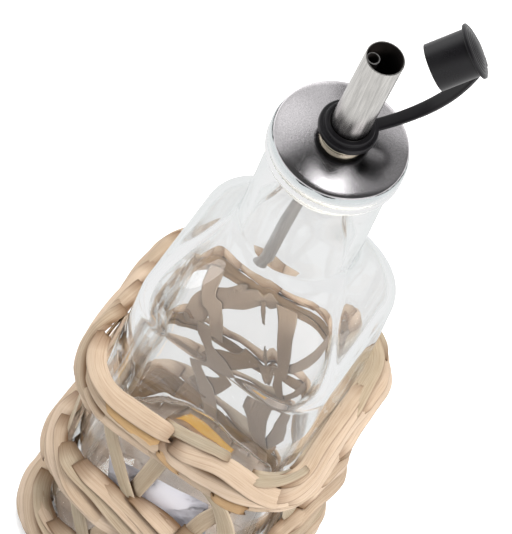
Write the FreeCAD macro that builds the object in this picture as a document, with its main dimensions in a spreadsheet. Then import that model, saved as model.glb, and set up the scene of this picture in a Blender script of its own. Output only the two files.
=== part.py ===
import FreeCAD, Part
import math
import os
import Sketcher

# A square clear glass oil bottle with a steel pouring spout, an open moulded cap on its strap,
# and an open jacket woven from flat leaf strips. Millimetres, +Z up, the origin on the table under
# the middle of the base. The front face looks along -Y.

doc = FreeCAD.newDocument("oil_bottle")
sheet = doc.addObject("Spreadsheet::Sheet", "Sizes")

SIZES = [
    # the glass
    ("mat_height", 2.4),
    ("base_side", 66.0),
    ("shoulder_side", 63.4),
    ("corner_radius", 14.0),
    ("glass_wall", 3.0),
    ("glass_floor", 5.0),
    ("foot_round", 2.5),
    ("shoulder_height", 40.0),
    ("neck_length", 45.8),
    ("neck_diameter", 36.6),
    ("neck_bore", 30.0),
    ("lip_diameter", 40.4),
    ("lip_height", 7.6),
    ("lip_round", 1.8),
    ("bottle_top", 213.8),
    # the stopper and the plate over it
    ("stopper_flange", 0.7),
    ("flange_margin", 0.6),
    ("stopper_depth", 14.0),
    ("fin_reach", 2.2),
    ("fin_count", 3),
    ("fin_height", 1.5),
    ("fin_flare", 0.8),
    ("bore_gap", 0.25),
    ("plate_margin", 0.7),
    ("plate_edge", 0.5),
    ("plate_land", 1.2),
    ("plate_rise", 2.6),
    ("sheet_steel", 0.5),
    # the spout, its collar and the air tube
    ("spout_diameter", 11.3),
    ("spout_wall", 0.5),
    ("spout_height", 42.5),
    ("spout_depth", 11.0),
    ("spout_lean", 1.9),
    ("lean_side", 10.0),
    ("spout_gap", 0.42),
    ("collar_wall", 0.63),
    ("ridge_count", 3),
    ("ridge_depth", 0.35),
    ("collar_gap", 0.3),
    ("air_diameter", 4.0),
    ("air_wall", 0.5),
    ("air_recess", 1.2),
    ("air_depth", 65.0),
    ("air_gap", 0.1),
    ("air_side", 205.0),
    # the moulded closure: ring, strap and cap in one piece
    ("closure_side", 45.0),
    ("ring_wall", 2.95),
    ("ring_height", 3.6),
    ("ring_base", 5.3),
    ("ring_step", 1.3),
    ("ring_gap", 0.1),
    ("cap_gap", 0.15),
    ("cap_wall", 1.15),
    ("cap_length", 13.7),
    ("cap_roof", 2.4),
    ("cap_brim", 1.2),
    ("cap_flange_height", 1.9),
    ("cap_out", 16.2),
    ("cap_up", 35.8),
    ("cap_tilt", 53.0),
    ("strap_width", 3.6),
    ("strap_height", 1.4),
    ("strap_bow", 0.163),
    ("strap_bite", 0.9),
    # the woven jacket
    ("weave_gap", 0.2),
    ("stake_width", 4.8),
    ("stake_height", 0.8),
    ("stake_reach", 0.75),
    ("band_height", 15.0),
    ("band_depth", 4.0),
    ("band_round", 1.6),
    ("top_band_base", 84.0),
    ("middle_band_base", 36.5),
    # the paper label
    ("label_width", 34.0),
    ("label_height", 27.0),
    ("label_paper", 0.2),
    ("label_gap", 0.02),
    ("label_turn", 12.0),
    ("label_across", 2.0),
    ("label_up", 51.0),
]

for row, (alias, value) in enumerate(SIZES, start=1):
    sheet.set(f"A{row}", alias)
    sheet.set(f"B{row}", str(value))
    sheet.setAlias(f"B{row}", alias)
doc.recompute()

UP = FreeCAD.Vector(0, 0, 1)
EAST = FreeCAD.Vector(1, 0, 0)
SHOULDER_STEPS = 5
SHOULDER_END = "(Sizes.bottle_top - Sizes.neck_length)"
SHOULDER_START = f"({SHOULDER_END} - Sizes.shoulder_height)"
RIM = "(Sizes.bottle_top + Sizes.stopper_flange + Sizes.plate_edge)"
PLATE_RADIUS = "(Sizes.lip_diameter / 2 - Sizes.plate_margin)"
DOME = f"(({PLATE_RADIUS} ^ 2 + Sizes.plate_rise ^ 2) / (2 * Sizes.plate_rise))"
SPOUT_BORE = "(Sizes.spout_diameter / 2 + Sizes.spout_gap)"
COLLAR_RADIUS = f"({SPOUT_BORE} + Sizes.collar_wall)"
RING_RADIUS = "(Sizes.spout_diameter / 2 + Sizes.ring_gap + Sizes.ring_wall)"
CAP_BORE = "(Sizes.spout_diameter / 2 + Sizes.cap_gap)"
CAP_RADIUS = f"({CAP_BORE} + Sizes.cap_wall)"
NEARLY_ROUND = 0.2
LEDGE_SHARE = 0.48
OVERRUN = "2 * Sizes.sheet_steel"
SAME_LEVEL = 0.01
NEAR_EDGE = 0.1
FACES = ("front", "right", "back", "left")
# Where stakes leave the band below and reach the band above, as shares of a face's flat half width.
# The first two lean one way on the outside, the last two lean back under them.
UPPER_STAKES = ((-0.25, -1.0), (1.0, 0.35), (-0.45, 0.1), (0.65, 1.1))
LOWER_STAKES = ((-0.35, -1.0), (0.85, 0.15), (-0.9, -0.2), (0.3, 1.1))

parts = []


def size(alias):
    """The number that a cell of the sheet holds."""
    return float(sheet.get(alias))


def keep(thing, name):
    """Give a finished sub-part its name and put it on the list that is written out."""
    thing.Label = name
    parts.append(thing)
    return thing


def bind(thing, **formulas):
    """Bind properties of an object to formulas over the sheet's cells."""
    for prop, formula in formulas.items():
        thing.setExpression(prop, formula)
    return thing


def lift(thing, formula):
    """Bind the height of an object's placement."""
    thing.setExpression(".Placement.Base.z", formula)
    return thing


def cylinder(name, radius, height, base="0"):
    """An upright cylinder on the Z axis."""
    round_bar = bind(doc.addObject("Part::Cylinder", name), Radius=radius, Height=height)
    return lift(round_bar, base)


def cone(name, lower, upper, height, base):
    """An upright cone on the Z axis."""
    flare = bind(doc.addObject("Part::Cone", name), Radius1=lower, Radius2=upper, Height=height)
    return lift(flare, base)


def cut(name, blank, tool):
    """One object less another."""
    result = doc.addObject("Part::Cut", name)
    result.Base = blank
    result.Tool = tool
    return result


def common(name, first, second):
    """What two objects share."""
    result = doc.addObject("Part::Common", name)
    result.Base = first
    result.Tool = second
    return result


def fuse(name, things):
    """Several objects made one."""
    result = doc.addObject("Part::MultiFuse", name)
    result.Shapes = things
    result.Refine = True
    return result


def origin_plane(body, role):
    """One of a body's own origin planes."""
    return next(item for item in body.Origin.OriginFeatures if item.Role == role)


def rounded_square(body, name, half, corner, height):
    """A level sketch of a square with rounded corners, its three sizes bound to formulas."""
    sketch = body.newObject("Sketcher::SketchObject", name)
    sketch.AttachmentSupport = [(origin_plane(body, "XY_Plane"), "")]
    sketch.MapMode = "FlatFace"
    reach = 10.0
    bend = 3.0
    flat = reach - bend
    turns = [(1, -1, -90), (1, 1, 0), (-1, 1, 90), (-1, -1, 180)]
    starts = [(-flat, -reach), (reach, -flat), (flat, reach), (-reach, flat)]
    ends = [(flat, -reach), (reach, flat), (-flat, reach), (-reach, -flat)]
    for (x, y, turn), start, end in zip(turns, starts, ends):
        sketch.addGeometry(Part.LineSegment(FreeCAD.Vector(*start, 0), FreeCAD.Vector(*end, 0)))
        circle = Part.Circle(FreeCAD.Vector(x * flat, y * flat, 0), UP, bend)
        first = math.radians(turn)
        sketch.addGeometry(Part.ArcOfCircle(circle, first, first + math.pi / 2))
    add = sketch.addConstraint
    for side in range(4):
        line = 2 * side
        arc = line + 1
        add(Sketcher.Constraint("Tangent", line, 2, arc, 1))
        add(Sketcher.Constraint("Tangent", arc, 2, (line + 2) % 8, 1))
        add(Sketcher.Constraint("Horizontal" if side % 2 == 0 else "Vertical", line))
    for arc in (3, 5, 7):
        add(Sketcher.Constraint("Equal", 1, arc))
    add(Sketcher.Constraint("Symmetric", 1, 3, 5, 3, -1, 1))
    named = {
        "reach_x": Sketcher.Constraint("DistanceX", -1, 1, 2, 1, reach),
        "reach_y": Sketcher.Constraint("DistanceY", -1, 1, 4, 1, reach),
        "bend": Sketcher.Constraint("Radius", 1, bend),
    }
    formulas = {"reach_x": half, "reach_y": half, "bend": corner}
    for key, constraint in named.items():
        sketch.renameConstraint(add(constraint), key)
        sketch.setExpression(f"Constraints.{key}", formulas[key])
    sketch.setExpression(".AttachmentOffset.Base.z", height)
    return sketch


def loft(body, kind, name, sections):
    """A loft through level sections, added to the body or taken from it."""
    feature = body.newObject(kind, name)
    feature.Profile = sections[0]
    feature.Sections = sections[1:]
    feature.Ruled = len(sections) == 2
    return feature


def primitive(body, kind, name, radius, height, base):
    """A round bar added to a body or taken from it."""
    feature = bind(body.newObject(kind, name), Radius=radius, Height=height)
    return lift(feature, base)


def shoulder_formulas(step, side_half, corner, neck_radius):
    """Half width, corner radius and height of one level of the shoulder, an even S curve."""
    share = step / SHOULDER_STEPS
    swing = f"(1 + cos({180 * share} deg)) / 2"
    half = f"{neck_radius} + ({side_half} - {neck_radius}) * {swing}"
    bend = f"({neck_radius} - {NEARLY_ROUND}) + ({corner} - {neck_radius} + {NEARLY_ROUND}) * {swing}"
    level = f"{SHOULDER_START} + Sizes.shoulder_height * {share}"
    return half, bend, level


def glass_stretch(body, label, kind_loft, inset, foot):
    """The straight sides and the shoulder, as the outside or, inset, as the hollow."""
    base_half = f"Sizes.base_side / 2 - {inset}"
    side_half = f"(Sizes.shoulder_side / 2 - {inset})"
    corner = f"(Sizes.corner_radius - {inset})"
    radius = "Sizes.neck_diameter / 2" if inset == "0" else "Sizes.neck_bore / 2"
    lower = rounded_square(body, f"{label}_foot", base_half, corner, foot)
    levels = [
        rounded_square(body, f"{label}_level_{step}", *shoulder_formulas(step, side_half, corner, radius))
        for step in range(SHOULDER_STEPS + 1)
    ]
    upper = rounded_square(body, f"{label}_side_top", side_half, corner, SHOULDER_START)
    loft(body, kind_loft, f"{label}_sides", [lower, upper])
    return loft(body, kind_loft, f"{label}_shoulder", levels)


def level_edges(shape, height, at_least):
    """Names of the edges that lie level at a height and reach out at least so far."""
    names = []
    for number, edge in enumerate(shape.Edges, start=1):
        box = edge.BoundBox
        reach = max(abs(box.XMin), abs(box.XMax), abs(box.YMin), abs(box.YMax))
        level = max(abs(box.ZMin - height), abs(box.ZMax - height)) < SAME_LEVEL
        if level and reach >= at_least:
            names.append(f"Edge{number}")
    return names


def round_over(body, name, base, heights, at_least, radius):
    """Fillet the outer edges of a body at the heights given."""
    doc.recompute()
    feature = body.newObject("PartDesign::Fillet", name)
    edges = [edge for height in heights for edge in level_edges(base.Shape, height, at_least)]
    feature.Base = (base, edges)
    return bind(feature, Radius=radius)


def make_glass():
    """The bottle: tapered square sides, a shoulder that turns round, a neck and a rounded lip."""
    body = doc.addObject("PartDesign::Body", "glass")
    glass_stretch(body, "outside", "PartDesign::AdditiveLoft", "0", "Sizes.mat_height")
    primitive(body, "PartDesign::AdditiveCylinder", "neck", "Sizes.neck_diameter / 2",
              "Sizes.neck_length", SHOULDER_END)
    lip = primitive(body, "PartDesign::AdditiveCylinder", "lip", "Sizes.lip_diameter / 2",
                    "Sizes.lip_height", "Sizes.bottle_top - Sizes.lip_height")
    lip_levels = [size("bottle_top"), size("bottle_top") - size("lip_height")]
    rounded = round_over(body, "lip_rounding", lip, lip_levels, size("lip_diameter") / 2 - NEAR_EDGE,
                         f"min(Sizes.lip_round; (Sizes.lip_diameter - Sizes.neck_diameter) * {LEDGE_SHARE})")
    foot = size("base_side") / 2 - size("corner_radius")
    round_over(body, "foot_rounding", rounded, [size("mat_height")], foot, "Sizes.foot_round")
    floor_top = "Sizes.mat_height + Sizes.glass_floor"
    glass_stretch(body, "inside", "PartDesign::SubtractiveLoft", "Sizes.glass_wall", floor_top)
    primitive(body, "PartDesign::SubtractiveCylinder", "mouth", "Sizes.neck_bore / 2",
              "Sizes.neck_length", SHOULDER_END)
    return keep(body, "glass_bottle")


def make_label():
    """A blank paper label, a little askew, flat on the lower front of the glass."""
    paper = bind(doc.addObject("Part::Box", "paper"), Length="Sizes.label_width",
                 Width="Sizes.label_paper", Height="Sizes.label_height")
    shoulder_start = size("bottle_top") - size("neck_length") - size("shoulder_height")
    slope = math.degrees(math.atan((size("base_side") - size("shoulder_side")) / 2
                                   / (shoulder_start - size("mat_height"))))
    lean = FreeCAD.Rotation(EAST, -slope)
    turn = FreeCAD.Rotation(FreeCAD.Vector(0, -1, 0), -size("label_turn"))
    half = FreeCAD.Vector(size("label_width") / 2, size("label_paper"), size("label_height") / 2)
    taper = math.tan(math.radians(slope)) * (size("label_up") - size("mat_height"))
    face = size("base_side") / 2 - taper + size("label_gap")
    middle = FreeCAD.Vector(size("label_across"), -face, size("label_up"))
    paper.Placement = FreeCAD.Placement(middle, lean.multiply(turn)).multiply(
        FreeCAD.Placement(half.negative(), FreeCAD.Rotation()))
    return keep(paper, "label")



def make_stopper():
    """The milky stopper: a flange on the lip, a core down the neck and soft fins round it."""
    core = cylinder("stopper_core_bar", "Sizes.neck_bore / 2 - Sizes.fin_reach", "Sizes.stopper_depth",
                    "Sizes.bottle_top - Sizes.stopper_depth")
    flange = cylinder("stopper_flange_disc", f"{PLATE_RADIUS} - Sizes.flange_margin",
                      "Sizes.stopper_flange", "Sizes.bottle_top")
    fins = []
    for number in range(int(size("fin_count"))):
        step = f"(Sizes.stopper_depth - Sizes.fin_height) / Sizes.fin_count * {number}"
        base = f"Sizes.bottle_top - Sizes.stopper_depth + {step}"
        fins.append(cone(f"fin_{number}", "Sizes.neck_bore / 2 - Sizes.bore_gap - Sizes.fin_flare",
                         "Sizes.neck_bore / 2 - Sizes.bore_gap", "Sizes.fin_height", base))
    bore = cylinder("stopper_bore", SPOUT_BORE, "Sizes.stopper_depth + 2 * Sizes.stopper_flange",
                    "Sizes.bottle_top - Sizes.stopper_depth - Sizes.stopper_flange / 2")
    return keep(cut("stopper_moulding", fuse("stopper_solid", [core, flange] + fins), bore), "stopper")


def make_plate():
    """The domed steel plate that covers the stopper and the lip."""
    centre = f"{RIM} + Sizes.plate_rise - {DOME}"
    skin = lift(bind(doc.addObject("Part::Sphere", "dome_skin"), Radius=DOME), centre)
    blank = cylinder("plate_blank", PLATE_RADIUS, "Sizes.plate_rise + Sizes.plate_edge",
                     "Sizes.bottle_top + Sizes.stopper_flange")
    cap = common("plate_cap", blank, skin)
    under_skin = lift(bind(doc.addObject("Part::Sphere", "dome_under"), Radius=DOME),
                      f"{centre} - Sizes.sheet_steel")
    room = cylinder("plate_room", f"{PLATE_RADIUS} - Sizes.plate_land",
                    "Sizes.plate_rise + Sizes.plate_edge", "Sizes.bottle_top + Sizes.stopper_flange")
    under = common("plate_hollow", room, under_skin)
    hole = cylinder("plate_hole", SPOUT_BORE, "2 * Sizes.plate_rise + 2 * Sizes.plate_edge",
                    "Sizes.bottle_top")
    return keep(cut("plate_pressing", cut("plate_shell", cap, under), hole), "cover_plate")


def make_collar():
    """The ridged steel collar between the plate and the closure's ring."""
    drop = f"({DOME} - sqrt({DOME} ^ 2 - {SPOUT_BORE} ^ 2))"
    foot = f"{RIM} + Sizes.plate_rise - {drop}"
    height = f"Sizes.ring_base - Sizes.plate_rise + {drop} - Sizes.collar_gap"
    core = cylinder("collar_core", f"{COLLAR_RADIUS} - Sizes.ridge_depth", height, foot)
    ridges = []
    for number in range(int(size("ridge_count"))):
        band = f"({height}) / Sizes.ridge_count"
        low = cone(f"ridge_low_{number}", f"{COLLAR_RADIUS} - Sizes.ridge_depth",
                   COLLAR_RADIUS, f"{band} / 2", f"{foot} + {band} * {number}")
        high = cone(f"ridge_high_{number}", COLLAR_RADIUS,
                    f"{COLLAR_RADIUS} - Sizes.ridge_depth", f"{band} / 2",
                    f"{foot} + {band} * {number + 0.5}")
        ridges += [low, high]
    bore = cylinder("collar_bore", SPOUT_BORE, f"({height}) * 2", f"{foot} - Sizes.sheet_steel")
    return keep(cut("collar_turning", fuse("collar_solid", [core] + ridges), bore), "collar")


def seat_on_spout(thing, turn=0.0):
    """Stand a piece of the pouring gear on the plate's middle, leaning as the spout does."""
    heading = math.radians(size("lean_side"))
    axis = FreeCAD.Vector(-math.sin(heading), math.cos(heading), 0)
    lean = FreeCAD.Rotation(axis, size("spout_lean"))
    thing.Placement.Rotation = lean.multiply(FreeCAD.Rotation(UP, turn))
    return lift(thing, RIM)


def tube(name, diameter, wall, top, depth):
    """A length of steel tube from a depth below the plate's rim up to its top."""
    length = f"{top} + {depth}"
    outer = cylinder(f"{name}_outer", f"{diameter} / 2", length, f"-{depth}")
    inner = cylinder(f"{name}_inner", f"{diameter} / 2 - {wall}", f"{length} + 2 * {OVERRUN}",
                     f"-{depth} - {OVERRUN}")
    return cut(f"{name}_tube", outer, inner)


def make_spout():
    """The pouring tube, straight and open at both ends."""
    pipe = tube("spout", "Sizes.spout_diameter", "Sizes.spout_wall", "Sizes.spout_height",
                "Sizes.spout_depth")
    return keep(seat_on_spout(pipe), "spout_tube")


def make_air_tube():
    """The thin air tube that lies against the inside of the spout and hangs down the neck."""
    top = "(Sizes.spout_height - Sizes.air_recess)"
    pipe = tube("air", "Sizes.air_diameter", "Sizes.air_wall", top, "Sizes.air_depth")
    aside = "Sizes.spout_diameter / 2 - Sizes.spout_wall - Sizes.air_diameter / 2 - Sizes.air_gap"
    for half in pipe.Base, pipe.Tool:
        bind(half, **{".Placement.Base.x": aside})
    return keep(seat_on_spout(pipe, size("air_side")), "air_tube")


def strap_piece():
    """The flat strap: one arc from the ring out and up to the foot of the cap's flange."""
    spout_radius = size("spout_diameter") / 2
    ring_radius = spout_radius + size("ring_gap") + size("ring_wall")
    brim_radius = spout_radius + size("cap_gap") + size("cap_wall") + size("cap_brim")
    tilt = math.radians(size("cap_tilt"))
    along = FreeCAD.Vector(math.sin(tilt), 0, math.cos(tilt))
    across = FreeCAD.Vector(math.cos(tilt), 0, -math.sin(tilt))
    mouth = FreeCAD.Vector(size("cap_out"), 0, size("cap_up"))
    rim = mouth + along * (size("cap_length") - size("cap_flange_height") / 2)
    finish = rim + across * (brim_radius - size("strap_bite"))
    start_height = size("ring_base") + (size("ring_height") - size("ring_step")) / 2
    start = FreeCAD.Vector(ring_radius - size("strap_bite"), 0, start_height)
    chord = finish - start
    belly = FreeCAD.Vector(chord.z, 0, -chord.x)
    middle = (start + finish) / 2 + belly * size("strap_bow")
    path = Part.Arc(start, middle, finish).toShape().Curve
    ways = []
    for shift in (-0.5, 0.5):
        radius = path.Radius + shift * size("strap_height")
        ways.append([path.Center + (point - path.Center).normalize() * radius
                     for point in (start, middle, finish)])
    inner, outer = ways
    outline = Part.Wire([
        Part.Arc(*inner).toShape(),
        Part.LineSegment(inner[2], outer[2]).toShape(),
        Part.Arc(*reversed(outer)).toShape(),
        Part.LineSegment(outer[0], inner[0]).toShape(),
    ])
    half = FreeCAD.Vector(0, size("strap_width") / 2, 0)
    ribbon = Part.Face(outline).extrude(half * 2)
    ribbon.translate(half.negative())
    strap = doc.addObject("Part::Feature", "strap")
    strap.Shape = ribbon
    return strap


def cap_piece():
    """The cap, open towards the spout, closed by a flanged roof at its far end."""
    wall = cylinder("cap_body", CAP_RADIUS, "Sizes.cap_length")
    roof = cylinder("cap_flange_disc", f"{CAP_RADIUS} + Sizes.cap_brim", "Sizes.cap_flange_height",
                    "Sizes.cap_length - Sizes.cap_flange_height")
    hollow = cylinder("cap_hollow", CAP_BORE, f"Sizes.cap_length - Sizes.cap_roof + {OVERRUN}",
                      f"-{OVERRUN}")
    cap = cut("cap", fuse("cap_solid", [wall, roof]), hollow)
    cap.Placement.Rotation = FreeCAD.Rotation(FreeCAD.Vector(0, 1, 0), size("cap_tilt"))
    bind(cap, **{".Placement.Base.x": "Sizes.cap_out", ".Placement.Base.z": "Sizes.cap_up"})
    return cap


def make_closure():
    """Ring, strap and cap, moulded as one piece; the cap is off the spout and held by its strap."""
    lower = cylinder("ring_lower", RING_RADIUS, "Sizes.ring_height - Sizes.ring_step",
                     "Sizes.ring_base")
    upper = cylinder("ring_upper", f"{RING_RADIUS} - Sizes.ring_step", "Sizes.ring_height",
                     "Sizes.ring_base")
    bore = cylinder("ring_bore", "Sizes.spout_diameter / 2 + Sizes.ring_gap",
                    "Sizes.ring_height * 3", "Sizes.ring_base - Sizes.ring_height")
    ring = cut("ring", fuse("ring_solid", [lower, upper]), bore)
    closure = fuse("closure_moulding", [ring, strap_piece(), cap_piece()])
    return keep(seat_on_spout(closure, size("closure_side")), "closure")


STAKE_ROOM = "(2 * Sizes.stake_height + 3 * Sizes.weave_gap)"
BAND_INNER = f"(Sizes.base_side / 2 + {STAKE_ROOM})"


def make_mat():
    """The woven floor of the jacket, under the glass and inside the bottom band."""
    body = doc.addObject("PartDesign::Body", "mat")
    half = f"{BAND_INNER} - Sizes.weave_gap"
    outline = rounded_square(body, "mat_outline", half, f"Sizes.corner_radius + {STAKE_ROOM}", "0")
    pad = body.newObject("PartDesign::Pad", "mat_pad")
    pad.Profile = outline
    bind(pad, Length="Sizes.mat_height")
    return keep(body, "base_mat")


def make_band(name, base):
    """One woven band, a rounded square ring round the stakes."""
    body = doc.addObject("PartDesign::Body", f"{name}_body")
    corner = f"Sizes.corner_radius + {STAKE_ROOM}"
    outline = rounded_square(body, f"{name}_outside", f"{BAND_INNER} + Sizes.band_depth",
                             f"{corner} + Sizes.band_depth", base)
    pad = body.newObject("PartDesign::Pad", f"{name}_pad")
    pad.Profile = outline
    bind(pad, Length="Sizes.band_height")
    inside = rounded_square(body, f"{name}_inside", BAND_INNER, corner, base)
    pocket = body.newObject("PartDesign::Pocket", f"{name}_pocket")
    pocket.Profile = inside
    pocket.Reversed = True
    pocket.Type = "Length"
    bind(pocket, Length="Sizes.band_height")
    doc.recompute()
    if pocket.Shape.Volume > 0.5 * pad.Shape.Volume:
        raise RuntimeError(f"{name}: the pocket left the ring filled")
    low = pocket.Shape.BoundBox.ZMin
    outer_flat = pocket.Shape.BoundBox.XMax - size("band_depth") / 2
    round_over(body, f"{name}_rounding", pocket, [low, low + size("band_height")], outer_flat,
               "Sizes.band_round")
    return keep(body, name)


def make_stake(name, face, layer, foot, head, low, high):
    """One flat strip leaning across a face, between the glass and the bands."""
    flat = "(Sizes.base_side / 2 - Sizes.corner_radius)"
    half = "Sizes.stake_width / 2"
    stake = doc.addObject("Part::Wedge", f"{name}_strip")
    bind(stake, Xmin=f"{foot} * {flat} - {half}", Xmax=f"{foot} * {flat} + {half}",
         X2min=f"{head} * {flat} - {half}", X2max=f"{head} * {flat} + {half}",
         Ymin="0", Ymax=f"({high}) - ({low})", Zmin="0", Zmax="Sizes.stake_height",
         Z2min="0", Z2max="Sizes.stake_height")
    turn = FreeCAD.Rotation(UP, 90 * face)
    stake.Placement.Rotation = turn.multiply(FreeCAD.Rotation(EAST, 90))
    outward = turn.multVec(FreeCAD.Vector(0, -1, 0))
    offset = f"(Sizes.base_side / 2 + Sizes.weave_gap + {layer} * (Sizes.stake_height + Sizes.weave_gap))"
    bind(stake, **{".Placement.Base.x": f"{round(outward.x)} * {offset}",
                   ".Placement.Base.y": f"{round(outward.y)} * {offset}",
                   ".Placement.Base.z": low})
    return keep(stake, name)


def make_stakes():
    """Crossing stakes in two tiers on each of the four faces."""
    middle = "Sizes.middle_band_base + Sizes.band_height / 2"
    lower_span = ("Sizes.mat_height + Sizes.weave_gap", f"{middle} - Sizes.weave_gap")
    upper_span = (f"{middle} + Sizes.weave_gap",
                  "Sizes.top_band_base + Sizes.band_height * Sizes.stake_reach")
    for face, side in enumerate(FACES):
        for tier, places, span in (("lower", LOWER_STAKES, lower_span),
                                   ("upper", UPPER_STAKES, upper_span)):
            for number, (foot, head) in enumerate(places):
                layer = 1 if number < 2 else 0
                make_stake(f"stake_{side}_{tier}_{number + 1}", face, layer, foot, head, *span)


make_mat()
make_glass()
make_label()
make_stopper()
make_plate()
make_collar()
make_spout()
make_air_tube()
make_closure()
make_band("bottom_band", "0")
make_band("middle_band", "Sizes.middle_band_base")
make_band("top_band", "Sizes.top_band_base")
make_stakes()
doc.recompute()

faults = [item.Name for item in doc.Objects if {"Invalid", "Error"} & set(item.State)]
for part in parts:
    if part.Shape.isNull() or not part.Shape.isValid() or len(part.Shape.Solids) != 1:
        faults.append(part.Label)
if faults:
    raise RuntimeError("not sound: " + ", ".join(faults))

os.makedirs("parts", exist_ok=True)
for part in parts:
    part.Shape.exportStep(f"parts/{part.Label}.step")
    box = part.Shape.BoundBox
    print(f"{part.Label:24s} {part.Shape.Volume:10.1f} mm3  z {box.ZMin:7.2f} to {box.ZMax:7.2f}")
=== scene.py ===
import math
import random

import bmesh
import bpy
from mathutils import Matrix, Vector, noise


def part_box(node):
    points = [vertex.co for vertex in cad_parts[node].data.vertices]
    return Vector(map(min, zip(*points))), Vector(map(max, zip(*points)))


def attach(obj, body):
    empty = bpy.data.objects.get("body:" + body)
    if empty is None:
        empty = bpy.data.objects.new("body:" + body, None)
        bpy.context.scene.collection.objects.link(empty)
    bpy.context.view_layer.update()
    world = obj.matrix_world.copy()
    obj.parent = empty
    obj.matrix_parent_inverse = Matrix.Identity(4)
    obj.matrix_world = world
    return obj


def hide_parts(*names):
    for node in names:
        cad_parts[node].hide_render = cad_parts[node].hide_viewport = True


# An empty square glass oil bottle with a steel pouring spout, its open cap on a strap, and an open
# jacket woven from flat leaf strips. Lengths here are in millimetres and go into the meshes in metres.
# What shader nodes and lamps are given is in metres.

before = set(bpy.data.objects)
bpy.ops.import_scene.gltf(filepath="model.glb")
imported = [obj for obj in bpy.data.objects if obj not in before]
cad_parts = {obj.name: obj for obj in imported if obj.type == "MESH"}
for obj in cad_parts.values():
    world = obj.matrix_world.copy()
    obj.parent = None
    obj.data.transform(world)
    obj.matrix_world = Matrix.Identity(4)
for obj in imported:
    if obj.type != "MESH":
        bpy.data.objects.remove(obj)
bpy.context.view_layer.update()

MM = 0.001
BODY = "root"
TURN = 2.0 * math.pi
WHITE = (1.0, 1.0, 1.0, 1.0)


def cad(node_name):
    """Lowest and highest corner of a CAD node, in millimetres."""
    low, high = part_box(node_name)
    return Vector(low) / MM, Vector(high) / MM


GLASS_LOW, GLASS_HIGH = cad("glass_bottle")
PLATE_LOW, _ = cad("cover_plate")
RIM_HEIGHT = PLATE_LOW.z + 0.5

# the camera, which looks down from the front and is rolled so that the bottle leans to the right
LOOK_AZIMUTH = math.radians(10.0)
LOOK_ELEVATION = math.radians(55.6)
LOOK_ROLL = math.radians(24.8)
LOOK_DISTANCE = 1600.0
LOOK_ASIDE = 23.83
LOOK_ABOVE = 35.47
LENS = 388.3

# the glass
GLASS_SEGMENTS = 176
GLASS_SIDE = 66.0
SHOULDER_SIDE = 63.4
SHOULDER_HEIGHT = 40.0
GLASS_CORNER = 14.0
GLASS_WALL = 3.0
GLASS_FLOOR = 5.0
FOOT_ROUND = 2.5
FLOOR_ROUND = 3.2
SHOULDER_END = GLASS_HIGH.z - 45.8
SHOULDER_START = SHOULDER_END - SHOULDER_HEIGHT
NECK_RADIUS = 18.3
NECK_BORE = 15.0
LIP_RADIUS = 20.2
LIP_HEIGHT = 7.6
LIP_FOOT_ROUND = 1.5
LIP_TOP_ROUND = 1.8
BORE_ROUND = 0.8

# the pouring gear
SPOUT_RADIUS = 5.65
SPOUT_HOLE = SPOUT_RADIUS + 0.42
SPOUT_LEAN = math.radians(1.9)
LEAN_SIDE = math.radians(10.0)
CLOSURE_SIDE = math.radians(45.0)
AIR_SIDE = math.radians(205.0)
TUBE_WALL = 0.5
PLATE_RADIUS = 19.5
PLATE_RISE = 2.6
PLATE_THICK = 0.5
DOME = (PLATE_RADIUS ** 2 + PLATE_RISE ** 2) / (2.0 * PLATE_RISE)
STOPPER_DEPTH = 14.0
RING_FOOT = 5.3
RING_REACH = 2.95
CAP_SPOT = Vector((16.2, 0.0, 35.8))
CAP_TILT = math.radians(53.0)
CAP_ROOF = 13.7

# the label
LABEL_WIDTH = 34.0
LABEL_HEIGHT = 27.0
LABEL_MIDDLE = 51.0

# the jacket, whose bands follow a rounded square: each has a rounded section, a little inside that
# course, and its top leans inwards
COURSE_HALF = 37.2
COURSE_CORNER = 18.2
COURSE_FLAT = COURSE_HALF - COURSE_CORNER
QUARTER = 2.0 * COURSE_FLAT + COURSE_CORNER * math.pi / 2.0
ROUND = 4.0 * QUARTER
BAND_HEIGHT = 15.2
BAND_SAG = 4.5
BAND_LIFT = 1.0
BAND_OUT = -0.9
BAND_DEEP = 3.1
BAND_LEAN = 1.3
LEAF_THICK = 0.5
# the last share is painted shade where a strip goes under its neighbours
STRIP_SHARES = ("along", "across", "tone", "inner", "tuck_shade")

# a strip's tone goes from 0, grey green, up to pale: below the first of these it is the woven floor,
# above the second it shows its raw inner side, and above the third it is the floor's ochre end,
# which glows as painted light
FLOOR_TONE = 0.05
RAW_TONE = 0.9
GLOWING_OCHRE_TONE = 0.97


# ---------------- camera and light

def look_axes():
    """Backward, right and up directions of the camera."""
    sin_a = math.sin(LOOK_AZIMUTH)
    cos_a = math.cos(LOOK_AZIMUTH)
    sin_e = math.sin(LOOK_ELEVATION)
    cos_e = math.cos(LOOK_ELEVATION)
    back = Vector((sin_a * cos_e, -cos_a * cos_e, sin_e))
    level = Vector((cos_a, sin_a, 0.0))
    rise = Vector((-sin_a * sin_e, cos_a * sin_e, cos_e))
    right = level * math.cos(LOOK_ROLL) + rise * math.sin(LOOK_ROLL)
    up = rise * math.cos(LOOK_ROLL) - level * math.sin(LOOK_ROLL)
    return back, right, up


def make_camera():
    """A long lens that looks down on the pouring gear, with the bottle off to the lower left."""
    back, right, up = look_axes()
    data = bpy.data.cameras.new("camera")
    data.sensor_width = 36.0
    data.lens = LENS
    data.clip_start = 0.05
    data.clip_end = 20.0
    camera = bpy.data.objects.new("camera", data)
    bpy.context.scene.collection.objects.link(camera)
    spot = Vector((0.0, 0.0, RIM_HEIGHT)) + back * LOOK_DISTANCE
    spot = spot - right * LOOK_ASIDE - up * LOOK_ABOVE
    camera.matrix_world = Matrix((
        (right.x, up.x, back.x, spot.x * MM),
        (right.y, up.y, back.y, spot.y * MM),
        (right.z, up.z, back.z, spot.z * MM),
        (0.0, 0.0, 0.0, 1.0)))
    bpy.context.scene.camera = camera


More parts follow.
